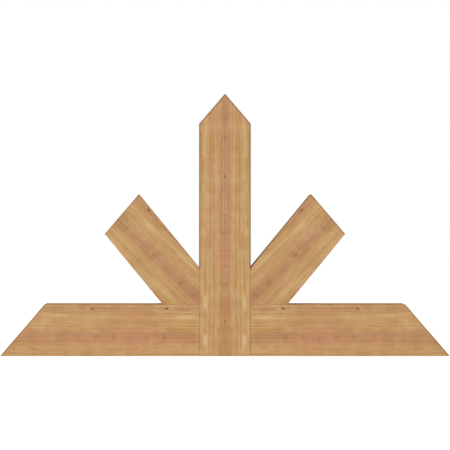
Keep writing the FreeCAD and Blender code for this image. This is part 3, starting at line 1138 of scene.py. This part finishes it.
        # Painted edge shade on the exposed arrises, with more or less on the upper and lower ones,
        # cleared in the joints.
        on_side = np.abs(across) > self.face / 2 - self.arris_band
        on_front = np.abs(depth) > self.depth / 2 - self.arris_band
        arris_shade = on_side * on_front * np.where(across > 0, edge_shade.top, edge_shade.low)
        arris = edge_shade.whole * np.maximum(end_edge_shade, arris_shade) * self._open(flat)
        grain = self.figure.grain(along, across, depth + self.depth / 2)
        mesh.attributes.new("grain", "FLOAT_VECTOR", "POINT").data.foreach_set("vector", grain.ravel())
        mesh.attributes.new("end_grain", "FLOAT", "FACE").data.foreach_set("value", cut)
        mesh.attributes.new("arris", "FLOAT", "POINT").data.foreach_set("value", arris)
        piece = shown_object(f"{self.node}_timber", mesh)
        self._drill(piece, bores)
        piece.data.materials.clear()
        piece.data.materials.append(finish)
        piece.data.shade_smooth()
        piece.data.set_sharp_from_angle(angle=math.radians(self.sharp_angle))
        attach(piece, BODY)
        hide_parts(self.node)
        LOG.info("%s: %d faces", piece.name, len(piece.data.polygons))

    @staticmethod
    def _drill(piece: bpy.types.Object, bores: bpy.types.Object) -> None:
        """Cuts the bores out of a piece and keeps the result as its mesh.

        Args:
            piece: The piece to cut.
            bores: The shape of the bores.
        """
        cut = piece.modifiers.new("bores", "BOOLEAN")
        cut.operation = "DIFFERENCE"
        cut.solver = "EXACT"
        cut.object = bores
        graph = bpy.context.evaluated_depsgraph_get()
        whole = piece.data
        name = whole.name
        piece.data = bpy.data.meshes.new_from_object(
            piece.evaluated_get(graph), preserve_all_data_layers=True, depsgraph=graph
        )
        piece.modifiers.clear()
        bpy.data.meshes.remove(whole)
        piece.data.name = name


@dataclass
class GableTruss:
    """The five timbers and their dowels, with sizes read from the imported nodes."""

    nodes: Mapping[str, bpy.types.Object]
    cedar: PlanedCedar = field(default_factory=PlanedCedar)
    beech: TurnedBeech = field(default_factory=TurnedBeech)
    joint_reach: float = 4 * MM
    level_dowels: tuple[str, ...] = (
        "left_chord_dowels",
        "right_chord_dowels",
        "left_strut_post_dowels",
        "right_strut_post_dowels",
    )
    upright_dowels: tuple[str, ...] = ("left_strut_chord_dowel", "right_strut_chord_dowel")

    def __post_init__(self) -> None:
        """Reads the post's and chord's sizes."""
        post_low, post_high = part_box("king_post")
        chord_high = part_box("right_chord")[1]
        self.half_post = post_high.x
        self.height = post_high.z
        self.depth = post_high.y - post_low.y
        self.half_span = chord_high.x
        self.chord_top = chord_high.z
        self.pitch = self.height / self.half_span

    def _strut_corners(self) -> tuple[list[Corner], list[Corner]]:
        """The right strut's five corners: the ones reached furthest along each side of its outline.

        Returns:
            Heel, inner corner and crown of its foot, and both corners of its head.
        """
        mesh = self.nodes["right_strut"].data
        flat = np.zeros(len(mesh.vertices) * 3)
        mesh.vertices.foreach_get("co", flat)
        x, z = flat[0::3], flat[2::3]
        touch = 0.01 * MM
        heel = (float(np.max(x[z < z.min() + touch])), float(z.min()))
        inner = (float(x.min()), float(z.min()))
        crown = (float(x.min()), float(np.max(z[x < x.min() + touch])))
        head = [(float(x[k]), float(z[k])) for k in (int(np.argmax(x)), int(np.argmax(z)))]
        return [heel, inner, crown], head

    def timbers(self) -> list[Timber]:
        """Lays out all five timbers.

        Returns:
            The post first, then each side's chord and strut.
        """
        shoulder = self.height - self.pitch * self.half_post
        right = self.half_post
        left = -self.half_post
        foot, head = self._strut_corners()
        heel, _, crown = foot
        near = self.joint_reach
        joints = [
            (right - near, right + near, -near, crown[1] - near),
            (right - near, heel[0] - near, self.chord_top - near, self.chord_top + near),
        ]
        post = Timber(
            node="king_post",
            start=[(right, 0.0), (left, 0.0)],
            finish=[(right, shoulder), (0.0, self.height), (left, shoulder)],
            depth=self.depth,
            figure=POST_FIGURE,
            joints=joints,
        )
        made = [post]
        chord_start = [(right, 0.0), (right, self.chord_top)]
        top_end = self.half_span - self.chord_top / self.pitch
        chord_finish = [(self.half_span, 0.0), (top_end, self.chord_top)]
        kinds = ((CHORD_FIGURE, chord_start, chord_finish), (STRUT_FIGURE, foot, head))
        for hand in Hand:
            for figure, start, finish in kinds:
                node = f"{hand.name.lower()}_{figure.name}"
                made.append(Timber(node, start, finish, self.depth, figure, joints, hand))
        return made

    def build(self) -> None:
        """Builds the timbers round their bores, and dresses the dowels."""
        bores = DowelBores(self.level_dowels, self.upright_dowels).cutter()
        figures = (POST_FIGURE, CHORD_FIGURE, STRUT_FIGURE)
        finishes = {figure.name: self.cedar.material(figure) for figure in figures}
        for timber in self.timbers():
            timber.build(finishes[timber.figure.name], bores)
        shape = bores.data
        bpy.data.objects.remove(bores)
        bpy.data.meshes.remove(shape)
        self._dress_dowels(self.level_dowels, self.beech.material(Way.LEVEL))
        self._dress_dowels(self.upright_dowels, self.beech.material(Way.UPRIGHT))

    def _dress_dowels(self, names: Sequence[str], finish: bpy.types.Material) -> None:
        """Puts the beech in the dowel nodes' own material slots.

        Args:
            names: The nodes to dress.
            finish: The beech.
        """
        for name in names:
            for place in self.nodes[name].material_slots:
                place.material = finish
            LOG.info("%s: %s", name, finish.name)


@dataclass(frozen=True)
class Lamp:
    """A square soft box, by its place, its side and its power in watts."""

    name: str
    place: tuple[float, float, float]
    side: float
    watts: float

    def hang(self, aim: Vector) -> None:
        """Adds the lamp to the scene.

        Args:
            aim: The point that it faces.
        """
        data = bpy.data.lights.new(self.name, "AREA")
        data.energy = self.watts
        data.size = self.side
        lamp = bpy.data.objects.new(self.name, data)
        lamp.location = self.place
        lamp.rotation_mode = "QUATERNION"
        lamp.rotation_quaternion = (aim - Vector(self.place)).to_track_quat("-Z", "Y")
        bpy.context.scene.collection.objects.link(lamp)


@dataclass
class Studio:
    """White floor and background, soft boxes, and the camera, which stands a little left of the truss.

    Truss_pixels is the truss's width in the photo's frame, and middle_row is how far its underside lies
    below the frame's middle, both in pixels.
    """

    low: Vector
    high: Vector
    photo_side: float = 450.0
    truss_pixels: float = 449.83
    middle_row: float = 130.99
    distance: float = 7.9
    shift: float = 0.08
    floor_radius: float = 12.0
    floor_sides: int = 96
    floor_rings: int = 8
    floor_middle: float = 0.02
    ambient: float = 0.06
    lamps: tuple[Lamp, ...] = (
        Lamp("key_box", (-12.0, -26.0, 19.4), 4.2, 6220.0),
        Lamp("top_box", (-1.8, 0.2, 3.0), 1.6, 16.0),
        Lamp("back_box", (3.0, 4.4, 2.2), 2.4, 75.0),
        Lamp("left_box", (-4.6, 0.0, 1.5), 1.4, 60.0),
        Lamp("right_box", (4.6, 0.0, 1.5), 1.4, 60.0),
    )

    def build(self) -> None:
        """Sets up the whole studio."""
        self._floor()
        self._background()
        for lamp in self.lamps:
            lamp.hang((self.low + self.high) / 2)
        self._camera()
        bpy.context.scene.view_settings.view_transform = "Standard"

    def _floor(self) -> None:
        """A round floor: rings of points from the middle out to its edge, at the truss's underside."""
        angle = np.linspace(0, 2 * math.pi, self.floor_sides, endpoint=False)[None, :]
        share = np.linspace(self.floor_middle, 1, self.floor_rings)[:, None]
        out = share * self.floor_radius
        level = np.full(self.floor_rings * self.floor_sides, self.low.z)
        flat = [(out * turn).ravel() for turn in (np.cos(angle), np.sin(angle))]
        points = np.stack([*flat, level], axis=-1)
        rings = hoops(self.floor_rings, self.floor_sides)[:, ::-1]
        quads = np.concatenate([rings, disc(self.floor_sides)])
        floor = shown_object("white_floor", made_mesh("white_floor", points, quads))
        floor.data.materials.append(WhiteSweep().material("matt_white_floor"))
        floor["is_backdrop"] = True

    def _background(self) -> None:
        """White to the eye, and a dimmer even light on the truss."""
        world = bpy.data.worlds.new("white_studio")
        graph = Graph(world)
        seen = graph.add("Background", {"Color": WHITE, "Strength": 1.0})
        light = graph.add("Background", {"Color": WHITE, "Strength": self.ambient})
        eye = graph.add("LightPath").outputs["Is Camera Ray"]
        both = graph.add("MixShader", {0: eye, 1: light.outputs[0], 2: seen.outputs[0]})
        graph.add("OutputWorld", {"Surface": both.outputs[0]})
        bpy.context.scene.world = world

    def _camera(self) -> None:
        """Level camera, far off, with its frame shifted so that the truss fills the width."""
        pixel = (self.high.x - self.low.x) / self.truss_pixels
        frame = pixel * self.photo_side
        data = bpy.data.cameras.new("photo_camera")
        data.lens = data.sensor_width * self.distance / frame
        data.shift_x = self.shift
        camera = bpy.data.objects.new("photo_camera", data)
        middle = (self.low.x + self.high.x) / 2
        camera.location = (
            middle - self.shift * frame,
            self.low.y - self.distance,
            self.low.z + self.middle_row * pixel,
        )
        camera.rotation_euler = (math.radians(90), 0, 0)
        bpy.context.scene.collection.objects.link(camera)
        bpy.context.scene.camera = camera


def main() -> None:
    """Loads the frame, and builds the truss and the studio."""
    logging.basicConfig(level=logging.INFO, format="%(name)s: %(message)s")
    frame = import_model()
    cad_low, cad_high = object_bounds()
    GableTruss(frame["nodes"]).build()
    Studio(cad_low, cad_high).build()


if __name__ == "__main__":
    main()
